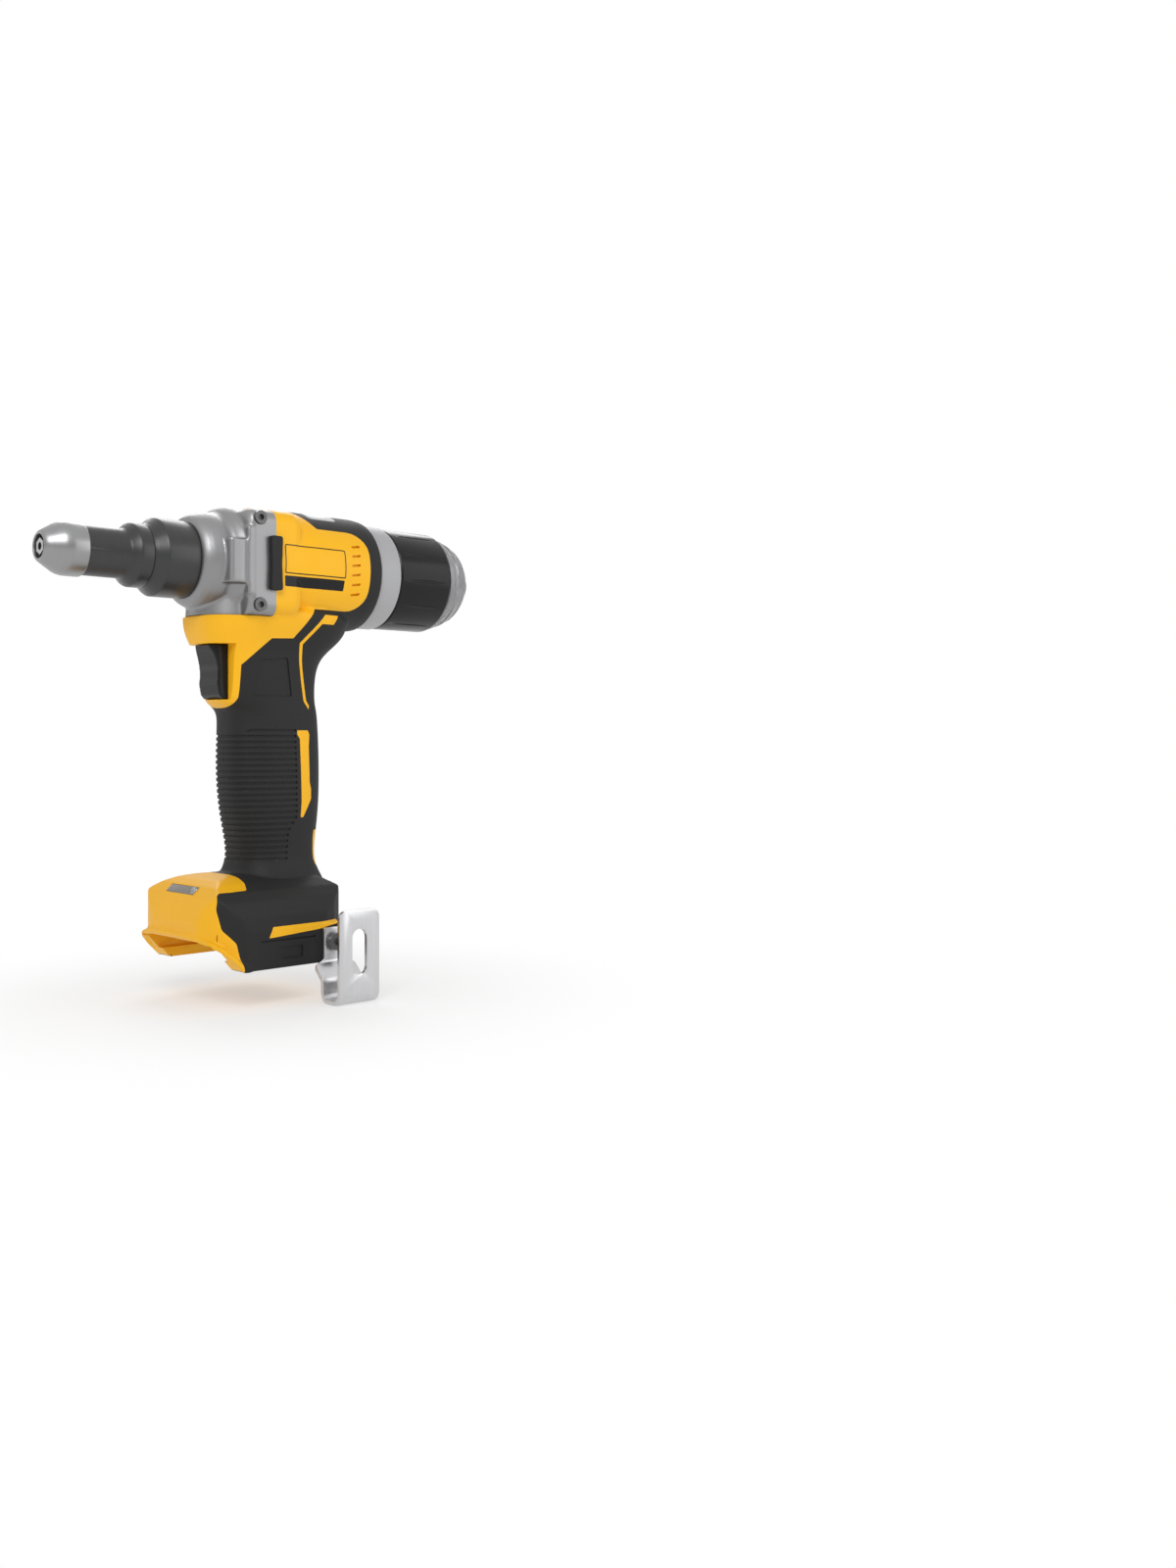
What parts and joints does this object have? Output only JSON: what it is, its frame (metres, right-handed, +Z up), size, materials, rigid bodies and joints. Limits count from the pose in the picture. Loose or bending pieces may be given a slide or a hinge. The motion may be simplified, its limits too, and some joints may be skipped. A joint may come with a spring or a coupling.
{
  "type": "cordless rivet tool",
  "caption": "Pistol-grip cordless pull-rivet tool with a stepped steel nose, cast gear case, rubber-covered handle, rear mandrel collector, belt hook and slide-battery foot.",
  "frame": {"origin": "centre of the nosepiece's bore at its front face, on the pull axis", "axes": "+X runs back along the pull axis towards the mandrel collector, +Z is up, and the tool's left side with the belt hook is -Y"},
  "size_m": [0.2245, 0.099, 0.2302],
  "materials": {
    "nose_steel": "satin turned steel",
    "hard_steel": "ground steel",
    "black_steel": "black oxide",
    "cast_alloy": "satin die cast",
    "lamination": "stacked sheet",
    "copper": "enamelled copper wire",
    "board": "green circuit board",
    "black_plastic": "satin moulded",
    "yellow_plastic": "fine moulded grain",
    "grip_rubber": "soft moulded rubber",
    "grey_plastic": "satin moulded",
    "clear_plastic": "clear moulded",
    "lens_plastic": "smoked lens",
    "brass": "plain",
    "stainless": "bright strip"
  },
  "bodies": {
    "tool": {"nose_cap": "nose_steel", "nose_piece": "nose_steel", "nose_sleeve": "black_steel", "nose_nut": "black_steel", "thrust_bearing": "nose_steel", "gear_case": "cast_alloy", "gear_case_screws": "black_steel", "side_bumpers": "black_plastic", "ring_gear": "nose_steel", "stator_core": "lamination", "stator_coils": "copper", "hall_board": "board", "motor_front_plate": "cast_alloy", "front_bearing": "nose_steel", "rear_bearing": "nose_steel", "rear_plate": "black_plastic", "mandrel_tube": "nose_steel", "barrel_left": "yellow_plastic", "barrel_right": "yellow_plastic", "handle_left": "yellow_plastic", "handle_right": "yellow_plastic", "foot_left": "yellow_plastic", "foot_right": "yellow_plastic", "grip_left": "grip_rubber", "grip_right": "grip_rubber", "housing_screws": "black_steel", "cup_seal": "grip_rubber", "trigger_spring": "nose_steel", "switch_module": "black_plastic", "control_module": "cast_alloy", "wire_loom": "grip_rubber", "led_lens": "lens_plastic", "led_board": "board", "terminal_block": "black_plastic", "terminal_blades": "brass", "belt_hook": "stainless", "hook_screw": "black_steel", "hook_insert_left": "brass", "hook_insert_right": "brass"},
    "pull_head": {"jaw_case": "nose_steel", "jaw_spring": "nose_steel", "pull_adapter": "nose_steel", "ball_screw": "nose_steel"},
    "jaw_pusher": {"jaw_pusher": "nose_steel"},
    "jaw_a": {"jaw_1": "hard_steel"},
    "jaw_b": {"jaw_2": "hard_steel"},
    "jaw_c": {"jaw_3": "hard_steel"},
    "nut": {"ball_nut": "hard_steel", "planet_carrier": "nose_steel"},
    "planet_a": {"planet_gear_1": "hard_steel"},
    "planet_b": {"planet_gear_2": "hard_steel"},
    "planet_c": {"planet_gear_3": "hard_steel"},
    "rotor": {"rotor_shaft": "nose_steel", "rotor_core": "lamination", "cooling_fan": "black_plastic", "sun_gear": "nose_steel"},
    "trigger": {"trigger": "black_plastic"},
    "collector_ring": {"collector_ring": "grey_plastic"},
    "collector": {"collector_cup": "black_plastic", "collector_window": "clear_plastic"}
  },
  "joints": [
    {"name": "trigger_pull", "type": "slide", "parent": "tool", "child": "trigger", "axis": [1, 0, 0], "range_m": [0, 0.006], "stiffness_N_per_m": 900, "springref_m": -0.004},
    {"name": "rotor_spin", "type": "hinge", "parent": "tool", "child": "rotor", "pos_m": [0.1173, 0, 0], "axis": [1, 0, 0], "range_deg": [0, 2160]},
    {"name": "nut_spin", "type": "hinge", "parent": "tool", "child": "nut", "pos_m": [0.0765, 0, 0], "axis": [1, 0, 0], "range_deg": [0, 720]},
    {"name": "pull_stroke", "type": "slide", "parent": "tool", "child": "pull_head", "axis": [1, 0, 0], "range_m": [0, 0.02]},
    {"name": "planet_a_spin", "type": "hinge", "parent": "nut", "child": "planet_a", "pos_m": [0.0933, 0, 0.0165], "axis": [1, 0, 0], "range_deg": [-2880, 0]},
    {"name": "planet_b_spin", "type": "hinge", "parent": "nut", "child": "planet_b", "pos_m": [0.0933, -0.01429, -0.00825], "axis": [1, 0, 0], "range_deg": [-2880, 0]},
    {"name": "planet_c_spin", "type": "hinge", "parent": "nut", "child": "planet_c", "pos_m": [0.0933, 0.01429, -0.00825], "axis": [1, 0, 0], "range_deg": [-2880, 0]},
    {"name": "pusher_slide", "type": "slide", "parent": "pull_head", "child": "jaw_pusher", "axis": [-1, 0, 0], "range_m": [0, 0.002]},
    {"name": "jaw_a_slide", "type": "slide", "parent": "pull_head", "child": "jaw_a", "axis": [-0.9724, 0, -0.2334], "range_m": [0, 0.00206]},
    {"name": "jaw_b_slide", "type": "slide", "parent": "pull_head", "child": "jaw_b", "axis": [-0.9724, 0.2022, 0.1167], "range_m": [0, 0.00206]},
    {"name": "jaw_c_slide", "type": "slide", "parent": "pull_head", "child": "jaw_c", "axis": [-0.9724, -0.2022, 0.1167], "range_m": [0, 0.00206]},
    {"name": "ring_twist", "type": "hinge", "parent": "tool", "child": "collector_ring", "pos_m": [0.1663, 0, 0], "axis": [1, 0, 0], "range_deg": [0, 45]},
    {"name": "collector_slide", "type": "slide", "parent": "collector_ring", "child": "collector", "axis": [1, 0, 0], "range_m": [0, 0.06]}
  ],
  "couplings": [
    {"joint": "nut_spin", "follows": "pull_stroke", "rad_per_m": 628.32},
    {"joint": "rotor_spin", "follows": "pull_stroke", "rad_per_m": 1885},
    {"joint": "planet_a_spin", "follows": "pull_stroke", "rad_per_m": -2513.3},
    {"joint": "planet_b_spin", "follows": "pull_stroke", "rad_per_m": -2513.3},
    {"joint": "planet_c_spin", "follows": "pull_stroke", "rad_per_m": -2513.3},
    {"joint": "jaw_a_slide", "follows": "pusher_slide", "ratio": 1.0284},
    {"joint": "jaw_b_slide", "follows": "pusher_slide", "ratio": 1.0284},
    {"joint": "jaw_c_slide", "follows": "pusher_slide", "ratio": 1.0284}
  ]
}
